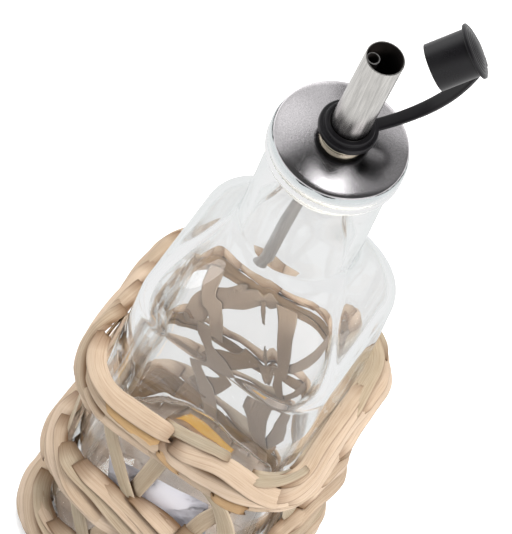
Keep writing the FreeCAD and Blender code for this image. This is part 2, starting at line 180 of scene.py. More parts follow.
def make_lamp(name, spot, target, width, power, tint=(1.0, 1.0, 1.0)):
    """A round soft lamp, in metres and watts, which gloss does not mirror."""
    data = bpy.data.lights.new(name, "AREA")
    data.shape = "DISK"
    data.size = width
    data.energy = power
    data.color = tint
    lamp = bpy.data.objects.new(name, data)
    bpy.context.scene.collection.objects.link(lamp)
    lamp.location = spot
    lamp.rotation_euler = (Vector(target) - Vector(spot)).to_track_quat("-Z", "Y").to_euler()
    lamp.visible_glossy = False


# ---------------- node helpers

def new_material(name):
    """An empty material of nodes, and its tree."""
    material = bpy.data.materials.new(name)
    material.use_nodes = True
    tree = material.node_tree
    tree.nodes.clear()
    return material, tree


def node(tree, kind, inputs=None, **settings):
    """A shader node with its settings, and its inputs joined to an output or set to a value."""
    made = tree.nodes.new("ShaderNode" + kind)
    for key, value in settings.items():
        setattr(made, key, value)
    for key, value in (inputs or {}).items():
        if isinstance(value, bpy.types.NodeSocket):
            tree.links.new(value, made.inputs[key])
        else:
            made.inputs[key].default_value = value
    return made


def maths(tree, operation, *values, clamp=False):
    """One sum on one to three values."""
    return node(tree, "Math", dict(enumerate(values)), operation=operation, use_clamp=clamp).outputs[0]


def span(tree, value, low, high, start, end, kind="LINEAR"):
    """A value's run from low to high, turned into a run from start to end."""
    run = {"Value": value, "From Min": low, "From Max": high, "To Min": start, "To Max": end}
    return node(tree, "MapRange", run, interpolation_type=kind).outputs[0]


def mixed(tree, share, first, second):
    """A colour between two others."""
    return node(tree, "Mix", {0: share, 6: first, 7: second}, data_type="RGBA").outputs[2]


def either(tree, share, first, second):
    """A surface between two others."""
    return node(tree, "MixShader", {0: share, 1: first, 2: second}).outputs[0]


def speckle(tree, scale, detail=2.0, roughness=0.5, stretch=None):
    """A soft noise over a piece's own coordinates."""
    place = node(tree, "TexCoord").outputs["Object"]
    if stretch:
        place = node(tree, "Mapping", {"Vector": place, "Scale": stretch}).outputs[0]
    return node(tree, "TexNoise", {"Vector": place, "Scale": scale, "Detail": detail,
                                   "Roughness": roughness}).outputs["Fac"]


def relief(tree, height, strength, depth):
    """A bumped surface direction."""
    return node(tree, "Bump", {"Height": height, "Strength": strength, "Distance": depth}).outputs[0]


def srgb(red, green, blue):
    """A linear colour from the everyday 0 to 255 values."""
    def linear(value):
        share = value / 255.0
        return share / 12.92 if share <= 0.04045 else ((share + 0.055) / 1.055) ** 2.4
    return (linear(red), linear(green), linear(blue), 1.0)


def ramp(tree, share, stops):
    """A colour picked from a row of (place, colour) stops."""
    made = node(tree, "ValToRGB", {0: share})
    elements = made.color_ramp.elements
    while len(elements) < len(stops):
        elements.new(0.5)
    for element, (place, color) in zip(elements, stops):
        element.position = place
        element.color = color
    return made.outputs[0]


def surface(tree, shader):
    """Make a shader the surface of the material."""
    node(tree, "OutputMaterial", {"Surface": shader})


COAT_INPUTS = {"base": "Base Color", "rough": "Roughness", "normal": "Normal", "metal": "Metallic",
               "ior": "IOR", "specular": "Specular IOR Level", "through": "Transmission Weight",
               "glow": "Emission Strength", "glow_color": "Emission Color"}


def coat(tree, **inputs):
    """A principled surface, whose inputs go by short names."""
    full = {COAT_INPUTS[name]: value for name, value in inputs.items()}
    return node(tree, "BsdfPrincipled", full).outputs[0]


# ---------------- materials

# the glass's own faint tint, turning to painted shade where the glass is seen edge on
GLASS_TINT_AND_EDGE_SHADE = ((0.0, WHITE), (0.62, (0.985, 0.995, 0.995, 1.0)), (0.86, (0.80, 0.87, 0.87, 1.0)),
               (1.0, (0.42, 0.52, 0.53, 1.0)))
# past this many bounces the glass is simply clear
DEEPEST_BOUNCE = 5.5


def glass_material():
    """Clear glass with a faint tint and painted shade: darker where it is seen edge on and at its rim; the
    lamps shine straight through.
    """
    material, tree = new_material("clear_glass")
    slant = node(tree, "LayerWeight", {"Blend": 0.5}).outputs["Facing"]
    tint = ramp(tree, slant, GLASS_TINT_AND_EDGE_SHADE)
    height = node(tree, "SeparateXYZ", {0: node(tree, "TexCoord").outputs["Object"]}).outputs["Z"]
    # painted shade along the rim of the lip
    rim = span(tree, height, (GLASS_HIGH.z - 2.0) * MM, (GLASS_HIGH.z - 0.6) * MM, 0.0, 0.6, "SMOOTHSTEP")
    tint = mixed(tree, rim, tint, (0.45, 0.58, 0.60, 1.0))
    pane = coat(tree, base=tint, rough=0.0, ior=1.5, through=1.0, specular=0.25)
    clear = node(tree, "BsdfTransparent", {"Color": (0.985, 0.985, 0.985, 1.0)}).outputs[0]
    path = node(tree, "LightPath").outputs
    open_way = maths(tree, "MAXIMUM", path["Is Shadow Ray"], path["Is Diffuse Ray"])
    deep = maths(tree, "GREATER_THAN", path["Ray Depth"], DEEPEST_BOUNCE)
    surface(tree, either(tree, maths(tree, "MAXIMUM", open_way, deep), pane, clear))
    return material


def milky_material():
    """The stopper's cloudy white plastic."""
    material, tree = new_material("milky_plastic")
    tone = ramp(tree, speckle(tree, 300.0, 3.0), ((0.3, srgb(216, 215, 210)), (0.7, srgb(230, 228, 222))))
    surface(tree, coat(tree, base=tone, rough=0.35, ior=1.5))
    return material


def steel_material(name, color, roughness, grain_scale, grain_depth, stretch=(1.0, 1.0, 1.0)):
    """Bare steel with a fine grain, which a stretch draws out along the piece."""
    material, tree = new_material(name)
    fine = speckle(tree, grain_scale, 4.0, 0.6, stretch)
    broad = speckle(tree, 160.0)
    rough = maths(tree, "MULTIPLY_ADD", fine, 0.16, roughness - 0.08)
    rough = maths(tree, "MULTIPLY_ADD", broad, 0.08, rough)
    darker = tuple(0.72 * share for share in color[:3]) + (1.0,)
    tone = mixed(tree, span(tree, fine, 0.35, 0.65, 0.0, 1.0), darker, color)
    grain = relief(tree, fine, 0.6, grain_depth)
    surface(tree, coat(tree, base=tone, metal=1.0, rough=rough, normal=grain))
    return material


def black_material():
    """The closure's moulded plastic, a little uneven in its gloss."""
    material, tree = new_material("black_plastic")
    fine = speckle(tree, 2600.0, 3.0)
    broad = speckle(tree, 180.0, 3.0)
    tone = mixed(tree, broad, srgb(9, 8, 10), srgb(22, 21, 24))
    rough = maths(tree, "MULTIPLY_ADD", broad, 0.2, 0.2)
    grain = relief(tree, fine, 0.2, 0.00006)
    surface(tree, coat(tree, base=tone, rough=rough, normal=grain, specular=0.36))
    return material


def bore_shade_material():
    """The inside of the tubes, painted dark as the shade deep in a bore."""
    material, tree = new_material("bore_shade")
    tone = mixed(tree, speckle(tree, 400.0), srgb(20, 18, 18), srgb(44, 40, 38))
    surface(tree, coat(tree, base=tone, rough=0.45, metal=0.4))
    return material


def paper_material():
    """The label's soft white paper."""
    material, tree = new_material("label_paper")
    tone = ramp(tree, speckle(tree, 70.0), ((0.3, srgb(205, 203, 212)), (0.7, srgb(224, 223, 229))))
    grain = relief(tree, speckle(tree, 1500.0, 4.0), 0.2, 0.00005)
    surface(tree, coat(tree, base=tone, rough=0.6, normal=grain))
    return material


# Leaf colours by a strip's tone: its smooth skin, and its rough inner side in and between the fibres
LEAF_SKIN = ((0.0, srgb(148, 141, 124)), (0.22, srgb(164, 152, 130)), (0.4, srgb(174, 155, 133)),
             (0.62, srgb(190, 169, 147)), (0.82, srgb(208, 190, 171)), (1.0, srgb(188, 156, 120)))
# the last stop of each is the floor's ochre end: its own ochre, brightened as painted light
LEAF_RAW = ((0.02, srgb(232, 214, 198)), (0.08, srgb(180, 157, 135)), (0.25, srgb(180, 157, 135)),
            (0.36, srgb(144, 116, 90)), (0.9, srgb(144, 116, 90)), (0.96, srgb(250, 178, 78)))
LEAF_TORN = ((0.02, srgb(245, 232, 220)), (0.08, srgb(208, 189, 170)), (0.25, srgb(208, 189, 170)),
             (0.36, srgb(200, 170, 134)), (0.9, srgb(200, 170, 134)), (0.96, srgb(255, 222, 140)))
LEAF_CLOUD = srgb(140, 108, 76)
LEAF_FIBRE = srgb(222, 206, 186)
LEAF_VEIN = srgb(122, 92, 64)
# painted highlight on a strip's edges
LEAF_RIM_HIGHLIGHT = srgb(232, 214, 192)
# painted shade where a strip goes under its neighbours
LEAF_TUCK_SHADE = srgb(104, 74, 46)
# painted shade in the crevices between strips
LEAF_NOOK_SHADE = srgb(84, 54, 30)
NOOK_DEPTH = 0.003


def leaf_noise(tree, along, across, tone, stretch, scale, detail, roughness=0.5):
    """A noise drawn out along a strip, and different on each."""
    place = {axis: maths(tree, "MULTIPLY", value, factor)
             for axis, value, factor in zip("XYZ", (along, across, tone), stretch)}
    spot = node(tree, "CombineXYZ", place).outputs[0]
    return node(tree, "TexNoise", {"Vector": spot, "Scale": scale, "Detail": detail,
                                   "Roughness": roughness}).outputs["Fac"]


def leaf_skin(tree, along, across, tone, fibre):
    """The smooth outer side: clouded with brown, with pale fibres and dark veins, and pale rims that are a
    painted highlight.
    """
    cloud = leaf_noise(tree, along, across, tone, (0.08, 0.5, 11.0), 1.4, 3.0)
    skin = mixed(tree, maths(tree, "MULTIPLY", cloud, 0.45), ramp(tree, tone, LEAF_SKIN), LEAF_CLOUD)
    pale = maths(tree, "SUBTRACT", fibre, 0.42, clamp=True)
    pale = maths(tree, "MULTIPLY", pale, 1.9, clamp=True)
    skin = mixed(tree, maths(tree, "MULTIPLY", pale, 0.6), skin, LEAF_FIBRE)
    skin = mixed(tree, span(tree, fibre, 0.44, 0.34, 0.0, 0.35), skin, LEAF_VEIN)
    # a painted highlight along both edges of the strip
    rim = maths(tree, "POWER", maths(tree, "ABSOLUTE", across), 9.0)
    return mixed(tree, maths(tree, "MULTIPLY", rim, 0.55), skin, LEAF_RIM_HIGHLIGHT)


def leaf_crevice_shade(tree, tone):
    """How much painted shade a crevice between strips gets, from its occlusion: none on the floor and its
    ochre end.
    """
    nook = node(tree, "AmbientOcclusion", {"Distance": NOOK_DEPTH}, samples=8, only_local=True)
    crevice_shade = span(tree, nook.outputs["AO"], 0.86, 0.3, 0.0, 0.92)
    crevice_shade = maths(tree, "MULTIPLY", crevice_shade, maths(tree, "GREATER_THAN", tone, FLOOR_TONE))
    return maths(tree, "MULTIPLY", crevice_shade, maths(tree, "LESS_THAN", tone, GLOWING_OCHRE_TONE))


def leaf_material():
    """Dried leaf strip: long fibres, soft sheen, rougher on its inner side, with painted shade where it
    tucks in and in its crevices, and a painted glow on the floor's ochre end.
    """
    material, tree = new_material("leaf_strip")
    along, across, tone, inner, tuck_shade = [
        node(tree, "Attribute", attribute_name=share).outputs["Fac"] for share in STRIP_SHARES]
    fibre = leaf_noise(tree, along, across, tone, (0.006, 1.0, 7.0), 9.0, 6.0, 0.72)
    flesh = mixed(tree, fibre, ramp(tree, tone, LEAF_RAW), ramp(tree, tone, LEAF_TORN))
    base = mixed(tree, inner, leaf_skin(tree, along, across, tone, fibre), flesh)
    # painted shade where a strip tucks under its neighbours
    base = mixed(tree, tuck_shade, base, LEAF_TUCK_SHADE)
    # painted shade in the crevices
    base = mixed(tree, leaf_crevice_shade(tree, tone), base, LEAF_NOOK_SHADE)
    # the floor's ochre end glows though it is no lamp: painted light
    glow = maths(tree, "MULTIPLY", maths(tree, "GREATER_THAN", tone, GLOWING_OCHRE_TONE), 0.45)
    rough = maths(tree, "MULTIPLY_ADD", inner, 0.25, 0.5)
    rough = maths(tree, "MULTIPLY_ADD", fibre, 0.2, rough)
    height = maths(tree, "MULTIPLY", fibre, maths(tree, "MULTIPLY_ADD", inner, 1.4, 0.7))
    grain = relief(tree, height, 0.7, 0.0006)
    surface(tree, coat(tree, base=base, rough=rough, normal=grain, specular=0.3, glow_color=base,
                       glow=glow))
    return material


FLOOR_SEEN = 0.42
FLOOR_MIRRORED = 0.86


def floor_material():
    """Plain white floor: it keeps the shadow, and shows white behind glass and in metal."""
    material, tree = new_material("floor_white")
    path = node(tree, "LightPath").outputs
    seen = maths(tree, "MAXIMUM", path["Is Camera Ray"], path["Is Transmission Ray"])
    cloth = node(tree, "BsdfDiffuse", {"Color": (0.8, 0.8, 0.8, 1.0)}).outputs[0]

    def light(strength):
        return node(tree, "Emission", {"Color": WHITE, "Strength": strength}).outputs[0]

    shown = either(tree, seen, light(0.0), light(FLOOR_SEEN))
    both = node(tree, "AddShader", {0: cloth, 1: shown}).outputs[0]
    surface(tree, either(tree, path["Is Glossy Ray"], both, light(FLOOR_MIRRORED)))
    return material


# Soft boxes and dark gaps overhead, which only gloss sees: direction, cosine where a patch starts,
# cosine where it is full, strength
SKY_PATCHES = (
    ((-0.75, 0.45, 0.48), 0.77, 0.84, 0.62),
    ((-0.50, 0.50, 0.71), 0.972, 0.992, 0.22),
    ((0.03, 0.17, 0.985), 0.986, 0.9945, 2.0),
    ((0.12, 0.31, 0.94), 0.975, 0.992, 0.12),
    ((0.18, 0.62, 0.76), 0.88, 0.95, 0.17),
    ((0.06, 0.90, 0.42), 0.95, 0.98, 0.35),
    ((0.75, -0.45, 0.45), 0.86, 0.95, 0.8),
)
SKY_DARK = 0.07
SKY_EDGE = 0.95
SKY_EDGE_END = 0.18
SKY_DARK_START = 0.5
SKY_LIGHT = 0.48
ROOM_TINT = (0.985, 0.997, 1.0, 1.0)


def make_world():
    """A plain white room, in which gloss sees a dark ceiling with soft boxes."""
    world = bpy.data.worlds.new("studio")
    bpy.context.scene.world = world
    world.use_nodes = True
    tree = world.node_tree
    tree.nodes.clear()
    path = node(tree, "LightPath").outputs
    way = node(tree, "TexCoord").outputs["Generated"]
    height = node(tree, "SeparateXYZ", {0: way}).outputs["Z"]
    level = span(tree, height, SKY_EDGE_END, SKY_DARK_START, SKY_EDGE, SKY_DARK, "SMOOTHSTEP")
    for direction, start, full, strength in SKY_PATCHES:
        aim = Vector(direction).normalized()
        facing = node(tree, "VectorMath", {0: way, 1: aim}, operation="DOT_PRODUCT").outputs["Value"]
        level = maths(tree, "ADD", level, span(tree, facing, start, full, 0.0, strength, "SMOOTHSTEP"))

    def light(strength, color=WHITE):
        return node(tree, "Background", {"Color": color, "Strength": strength}).outputs[0]

    sky = either(tree, path["Is Glossy Ray"], light(SKY_LIGHT), light(level))
    sky = either(tree, path["Is Transmission Ray"], sky, light(1.0, ROOM_TINT))
    sky = either(tree, path["Is Camera Ray"], sky, light(1.0))
    node(tree, "OutputWorld", {"Surface": sky})


# ---------------- mesh helpers

CRISP_ANGLE = math.radians(28.0)


def make_piece(work, name, materials, nodes, sharp=None):
    """Turn finished mesh work in millimetres into a piece that stands for CAD nodes."""
    bmesh.ops.recalc_face_normals(work, faces=work.faces)
    bmesh.ops.scale(work, vec=(MM, MM, MM), verts=work.verts)
    mesh = bpy.data.meshes.new(name)
    work.to_mesh(mesh)
    work.free()
    mesh.shade_smooth()
    if sharp:
        mesh.set_sharp_from_angle(angle=math.radians(sharp))
    for material in materials:
        mesh.materials.append(material)
    piece = bpy.data.objects.new(name, mesh)
    bpy.context.scene.collection.objects.link(piece)
    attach(piece, BODY)
    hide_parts(*nodes)
    return piece


def turned(outline, steps, soft=0.0, soft_steps=3):
    """Mesh work of a closed outline of (radius, height) points spun round Z, its edges softened."""
    work = bmesh.new()
    verts = [work.verts.new((radius, 0.0, height)) for radius, height in outline]
    edges = [work.edges.new(pair) for pair in zip(verts, verts[1:] + verts[:1])]
    bmesh.ops.spin(work, geom=verts + edges, cent=(0.0, 0.0, 0.0), axis=(0.0, 0.0, 1.0),
                   dvec=(0.0, 0.0, 0.0), angle=TURN, steps=steps, use_merge=True)
    bmesh.ops.remove_doubles(work, verts=work.verts, dist=1e-4)
    bmesh.ops.recalc_face_normals(work, faces=work.faces)
    if soft:
        crisp = [edge for edge in work.edges
                 if len(edge.link_faces) == 2 and edge.calc_face_angle() > CRISP_ANGLE
                 and abs(edge.verts[0].co.z - edge.verts[1].co.z) < 1e-5]
        bmesh.ops.bevel(work, geom=crisp, offset=soft, offset_type="OFFSET", segments=soft_steps,
                        profile=0.5, affect="EDGES", material=-1, clamp_overlap=True)
    return work


def take_in(work, other):
    """Move all of another mesh work into this one."""
    mesh = bpy.data.meshes.new("passing")
    other.to_mesh(mesh)
    other.free()
    work.from_mesh(mesh)
    bpy.data.meshes.remove(mesh)


def rounded_reach(angle, half, corner):
    """How far a square with rounded corners reaches from its middle in a direction."""
    if corner >= half:
        return half
    x = abs(math.cos(angle))
    y = abs(math.sin(angle))
    flat = half - corner
    reach = half / max(x, y)
    if min(x, y) * reach <= flat:
        return reach
    middle = flat * (x + y)
    return middle + math.sqrt(max(middle * middle - 2.0 * flat * flat + corner * corner, 0.0))


def quarter_round(steps):
    """Sine and cosine at even steps over a quarter circle."""
    angles = [math.pi / 2.0 * step / steps for step in range(steps + 1)]
    return [(math.sin(angle), math.cos(angle)) for angle in angles]


# ---------------- glass

SIDE_STEPS = 14
SHOULDER_STEPS = 30
LIP_GROOVE = ((0.36, 0.0), (0.41, 0.35), (0.45, 0.6), (0.49, 0.35), (0.54, 0.0))

# A level of the glass is its half width, corner radius and height, and how much its waves show.


def round_level(radius, height, wave=0.0):
    """A level where the glass is round."""
    return radius, radius, height, wave


def side_level(share, foot, side, corner, start, wave):
    """A level of the tapering sides, from a start height up to the shoulder."""
    return foot + (side - foot) * share, corner, start + (SHOULDER_START - start) * share, wave


def shoulder_level(share, side, corner, radius, wave):
    """A level of the shoulder, which turns from the square sides to the round neck."""
    swing = (1.0 + math.cos(math.pi * share)) / 2.0
    half = radius + (side - radius) * swing
    bend = (radius - 0.2) + (corner - radius + 0.2) * swing
    return half, bend, SHOULDER_START + SHOULDER_HEIGHT * share, wave


def glass_outside():
    """Levels from the middle of the pushed-up underside, round the foot and up to the lip."""
    base = GLASS_LOW.z
    foot = GLASS_SIDE / 2.0
    side = SHOULDER_SIDE / 2.0
    levels = [(4.0, 3.9, base + 1.2, 0.0), (20.0, 12.0, base + 1.0, 0.0),
              (foot - 5.5, GLASS_CORNER - 5.0, base + 0.3, 0.0)]
    for sine, cosine in quarter_round(5):
        inset = FOOT_ROUND * (1.0 - sine)
        levels.append((foot - inset, GLASS_CORNER - inset, base + FOOT_ROUND * (1.0 - cosine), 0.0))
    for step in range(1, SIDE_STEPS + 1):
        levels.append(side_level(step / SIDE_STEPS, foot, side, GLASS_CORNER, base + FOOT_ROUND, 0.0))
    for step in range(1, SHOULDER_STEPS + 1):
        levels.append(shoulder_level(step / SHOULDER_STEPS, side, GLASS_CORNER, NECK_RADIUS, 0.0))
    lip_foot = GLASS_HIGH.z - LIP_HEIGHT
    for height in (SHOULDER_END + 10.0, SHOULDER_END + 22.0, lip_foot - 1.6, lip_foot - 0.5):
        levels.append(round_level(NECK_RADIUS, height))
    return levels


def glass_lip():
    """Levels of the lip: round below and above, a fine groove between, then over into the bore."""
    top = GLASS_HIGH.z
    foot = top - LIP_HEIGHT
    levels = [round_level(NECK_RADIUS + 0.25, foot - 0.1)]
    for sine, cosine in quarter_round(6):
        levels.append(round_level(LIP_RADIUS - LIP_FOOT_ROUND * (1.0 - sine),
                                  foot + LIP_FOOT_ROUND * (1.0 - cosine)))
    for share, inset in LIP_GROOVE:
        levels.append(round_level(LIP_RADIUS - inset, foot + LIP_HEIGHT * share))
    for sine, cosine in quarter_round(6):
        levels.append(round_level(LIP_RADIUS - LIP_TOP_ROUND * (1.0 - cosine),
                                  top - LIP_TOP_ROUND * (1.0 - sine)))
    for sine, cosine in quarter_round(3):
        levels.append(round_level(NECK_BORE + BORE_ROUND * (1.0 - sine), top - BORE_ROUND * (1.0 - cosine)))
    return levels


def glass_inside():
    """Levels from the neck's bore down the gently wavy inside to the middle of the raised floor."""
    foot = GLASS_SIDE / 2.0 - GLASS_WALL
    side = SHOULDER_SIDE / 2.0 - GLASS_WALL
    corner = GLASS_CORNER - GLASS_WALL
    floor_top = GLASS_LOW.z + GLASS_FLOOR
    levels = [round_level(NECK_BORE, SHOULDER_END + above, 0.15) for above in (22.0, 10.0, 2.0)]
    for step in range(SHOULDER_STEPS, -1, -1):
        share = step / SHOULDER_STEPS
        levels.append(shoulder_level(share, side, corner, NECK_BORE, 1.0 - 0.6 * share))
    for step in range(SIDE_STEPS - 1, 0, -1):
        levels.append(side_level(step / SIDE_STEPS, foot, side, corner, floor_top + FLOOR_ROUND, 1.0))
    for sine, cosine in quarter_round(6):
        inset = FLOOR_ROUND * (1.0 - cosine)
        levels.append((foot - inset, corner - inset * 0.6, floor_top + FLOOR_ROUND * (1.0 - sine), 0.6))
    levels += [(18.0, 11.0, floor_top + 0.9, 0.0), (8.0, 7.0, floor_top + 1.4, 0.0),
               (1.5, 1.5, floor_top + 1.5, 0.0)]
    return levels


def make_glass(material):
    """The blown glass: one closed skin drawn from level to level, outside and inside."""
    work = bmesh.new()
    ring = bmesh.ops.create_circle(work, cap_ends=True, radius=1.0, segments=GLASS_SEGMENTS)["verts"]
    angles = [math.atan2(vert.co.y, vert.co.x) for vert in ring]
    for number, (half, bend, height, wave) in enumerate(glass_outside() + glass_lip() + glass_inside()):
        if number:
            edges = [next(edge for edge in first.link_edges if edge.other_vert(first) is second)
                     for first, second in zip(ring, ring[1:] + ring[:1])]
            fresh = {item for item in bmesh.ops.extrude_edge_only(work, edges=edges)["geom"]
                     if isinstance(item, bmesh.types.BMVert)}
            ring = [next(edge.other_vert(vert) for edge in vert.link_edges
                         if edge.other_vert(vert) in fresh) for vert in ring]
        for vert, angle in zip(ring, angles):
            reach = rounded_reach(angle, half, bend)
            if wave:
                spot = Vector((math.cos(angle) * reach, math.sin(angle) * reach, height))
                reach += wave * (0.42 * noise.noise(spot * 0.045) + 0.16 * noise.noise(spot * 0.11))
            vert.co = (math.cos(angle) * reach, math.sin(angle) * reach, height)
    bmesh.ops.contextual_create(work, geom=ring)
    make_piece(work, "blown_glass", [material], ["glass_bottle"], sharp=70)


# ---------------- pouring gear

def gear_place(turn=0.0):
    """Where the pouring gear stands: on the plate's middle, leaning as the spout does."""
    axis = Vector((-math.sin(LEAN_SIDE), math.cos(LEAN_SIDE), 0.0))
    return (Matrix.Translation((0.0, 0.0, RIM_HEIGHT)) @ Matrix.Rotation(SPOUT_LEAN, 4, axis)
            @ Matrix.Rotation(turn, 4, "Z"))


def make_stopper(material):
    """The ribbed stopper in the neck, its flange on the lip."""
    top = GLASS_HIGH.z
    foot = top - STOPPER_DEPTH
    core = NECK_BORE - 2.2
    ribs = 3
    outline = [(SPOUT_HOLE, foot), (core - 0.5, foot)]
    for number in range(ribs):
        base = foot + (STOPPER_DEPTH - 1.5) / ribs * number
        outline += [(core, base + 0.3), (NECK_BORE - 1.0, base + 0.4), (NECK_BORE - 0.25, base + 1.5),
                    (core, base + 1.9)]
    flange = PLATE_RADIUS - 0.6
    outline += [(core, top), (flange, top), (flange, top + 0.7), (SPOUT_HOLE, top + 0.7)]
    work = turned(outline, 96, soft=0.16, soft_steps=2)
    make_piece(work, "ribbed_stopper", [material], ["stopper"], sharp=40)


def dome_height(radius):
    """Height of the plate's pressed dome at a distance from its middle."""
    return RIM_HEIGHT + PLATE_RISE - (DOME - math.sqrt(DOME ** 2 - radius ** 2))


def dome_line(start, end, drop):
    """Points along the dome's profile, a drop below its top side."""
    steps = 14
    reaches = [start + (end - start) * step / steps for step in range(steps + 1)]
    return [(reach, dome_height(reach) - drop) for reach in reaches]


def make_plate(material):
    """The pressed dome with its edge rolled down onto the stopper's flange."""
    outline = dome_line(SPOUT_HOLE, PLATE_RADIUS - 0.9, 0.0)
    for inset, drop in ((0.4, -0.02), (0.1, 0.1), (0.0, 0.28), (0.0, 0.48), (0.5, 0.49)):
        outline.append((PLATE_RADIUS - inset, RIM_HEIGHT - drop))
    outline += dome_line(PLATE_RADIUS - 1.1, SPOUT_HOLE, PLATE_THICK)
    make_piece(turned(outline, 160), "domed_plate", [material], ["cover_plate"], sharp=50)


def make_collar(material):
    """The collar with three round ridges, between the plate and the closure's ring."""
    foot = dome_height(SPOUT_HOLE)
    head = RIM_HEIGHT + RING_FOOT - 0.3
    steps = 3 * 8
    outline = [(SPOUT_HOLE, foot)]
    for step in range(steps + 1):
        ridge = 0.72 * abs(math.sin(math.pi * step / 8.0))
        outline.append((SPOUT_HOLE + 0.03 + ridge, foot + (head - foot) * step / steps))
    outline.append((SPOUT_HOLE, head))
    make_piece(turned(outline, 96), "ridged_collar", [material], ["collar"], sharp=50)


def make_tube(name, node_name, radius, foot, head, place, materials, steps):
    """An open tube with its cut edges softened, its inside painted dark as shade."""
    bore = radius - TUBE_WALL
    work = turned([(radius, foot), (radius, head), (bore, head), (bore, foot)], steps, soft=0.15)
    for face in work.faces:
        middle = face.calc_center_median()
        # faces inside the bore take the painted shade
        if math.hypot(middle.x, middle.y) < radius - TUBE_WALL * 0.75:
            face.material_index = 1
    bmesh.ops.transform(work, matrix=place, verts=work.verts)
    make_piece(work, name, materials, [node_name], sharp=50)


CLOSURE_BORE = SPOUT_RADIUS + 0.1
RING_RADIUS = CLOSURE_BORE + RING_REACH
CAP_BORE = SPOUT_RADIUS + 0.15
CAP_WALL = 1.15
CAP_RIM = CAP_BORE + CAP_WALL + 1.2
STRAP_INSET = 0.9
STRAP_CUTS = 39


def closure_ring():
    """The stepped ring that grips the spout."""
    bore = CLOSURE_BORE
    reach = RING_RADIUS
    steps = ((bore, 0.0), (reach - 0.5, 0.0), (reach, 0.45), (reach, 1.95), (reach - 0.35, 2.3),
             (reach - 1.3, 2.35), (reach - 1.45, 3.45), (reach - 1.9, 3.6), (bore + 0.25, 3.6),
             (bore, 3.35))
    return turned([(radius, RING_FOOT + above) for radius, above in steps], 96, soft=0.22)


def closure_cap():
    """The open cap: a plain cup with a brim and fine rings turned into its roof."""
    outer = CAP_BORE + CAP_WALL
    roof = CAP_ROOF
    outline = [(CAP_BORE, 0.0), (outer, 0.0), (outer, roof - 2.0), (outer + 0.3, roof - 1.75),
               (CAP_RIM - 0.15, roof - 1.75), (CAP_RIM, roof - 1.5), (CAP_RIM, roof - 0.95)]
    roof_rings = ((0.94, 0.05), (0.90, 0.32), (0.84, 0.22), (0.78, 0.62), (0.72, 0.5), (0.66, 0.92),
                  (0.60, 0.8), (0.54, 1.17), (0.48, 1.04), (0.42, 1.36), (0.36, 1.22), (0.28, 1.48))
    for share, lift in roof_rings:
        outline.append((CAP_RIM * share, roof - 0.8 + lift * 0.85))
    outline += [(0.0, roof + 0.5), (0.0, roof - 2.4), (CAP_BORE - 0.5, roof - 2.4), (CAP_BORE, roof - 2.9)]
    work = turned(outline, 96, soft=0.1, soft_steps=2)
    place = Matrix.Translation(CAP_SPOT) @ Matrix.Rotation(CAP_TILT, 4, "Y")
    bmesh.ops.transform(work, matrix=place, verts=work.verts)
    return work


def strap_curve():
    """Ends of the strap on the ring and the cap's brim, and the point that bends it between them."""
    along = Vector((math.sin(CAP_TILT), 0.0, math.cos(CAP_TILT)))
    across = Vector((math.cos(CAP_TILT), 0.0, -math.sin(CAP_TILT)))
    start = Vector((RING_RADIUS - STRAP_INSET, 0.0, RING_FOOT + 1.15))
    finish = CAP_SPOT + along * (CAP_ROOF - 0.95) + across * (CAP_RIM - STRAP_INSET)
    chord = finish - start
    middle = (start + finish) / 2.0
    bend = middle + Vector((chord.z, 0.0, -chord.x)) * 0.326
    return start, bend, finish


def closure_strap():
    """A flat strap with softened edges, bowed outwards, a little wider at its middle."""
    work = bmesh.new()
    bmesh.ops.create_cube(work, size=1.0)

    def long_edges():
        return [edge for edge in work.edges if abs(edge.verts[0].co.x - edge.verts[1].co.x) > 0.5]

    bmesh.ops.bevel(work, geom=long_edges(), offset=0.22, offset_type="OFFSET", segments=3,
                    profile=0.5, affect="EDGES", material=-1)
    bmesh.ops.subdivide_edges(work, edges=long_edges(), cuts=STRAP_CUTS, use_grid_fill=True)
    start, bend, finish = strap_curve()
    for vert in work.verts:
        share = vert.co.x + 0.5
        rest = 1.0 - share
        point = start * rest ** 2 + bend * 2.0 * share * rest + finish * share ** 2
        way = ((bend - start) * rest + (finish - bend) * share).normalized()
        side = Vector((way.z, 0.0, -way.x))
        width = 3.7 + 0.5 * math.sin(math.pi * share) ** 2
        vert.co = point + Vector((0.0, vert.co.y * width, 0.0)) + side * vert.co.z * 1.4
    return work


def make_closure(material):
    """Ring, strap and cap: the ring on the spout, the cap open and held out by the strap."""
    work = closure_ring()
    take_in(work, closure_cap())
    take_in(work, closure_strap())
    bmesh.ops.transform(work, matrix=gear_place(CLOSURE_SIDE), verts=work.verts)
    make_piece(work, "strapped_cap", [material], ["closure"], sharp=35)


# ---------------- label

def make_label(material):
    """Thin paper, a little askew, with one crease that rises across it near its lower edge."""
    work = bmesh.new()
    bmesh.ops.create_grid(work, x_segments=34, y_segments=27, size=0.5)
    slope = math.atan((GLASS_SIDE - SHOULDER_SIDE) / 2.0 / (SHOULDER_START - GLASS_LOW.z))
    for vert in work.verts:
        across = vert.co.x * LABEL_WIDTH
        up = vert.co.y * LABEL_HEIGHT
        lift = 0.12 + 0.35 * max(0.0, noise.noise(Vector((across * 0.09, up * 0.09, 4.0))))
        crease = up + 12.0 - across * 0.12
        lift += 0.5 * math.exp(-(crease / 1.1) ** 2)
        vert.co = (across, -lift, up)
    bmesh.ops.solidify(work, geom=work.faces[:], thickness=0.16)
    reach = GLASS_SIDE / 2.0 - math.tan(slope) * (LABEL_MIDDLE - GLASS_LOW.z)
    place = (Matrix.Translation((2.0, -reach, LABEL_MIDDLE)) @ Matrix.Rotation(-slope, 4, "X")
             @ Matrix.Rotation(math.radians(-12.0), 4, "Y"))
    bmesh.ops.transform(work, matrix=place, verts=work.verts)
    make_piece(work, "paper_label", [material], ["label"], sharp=60)


# ---------------- leaf strips

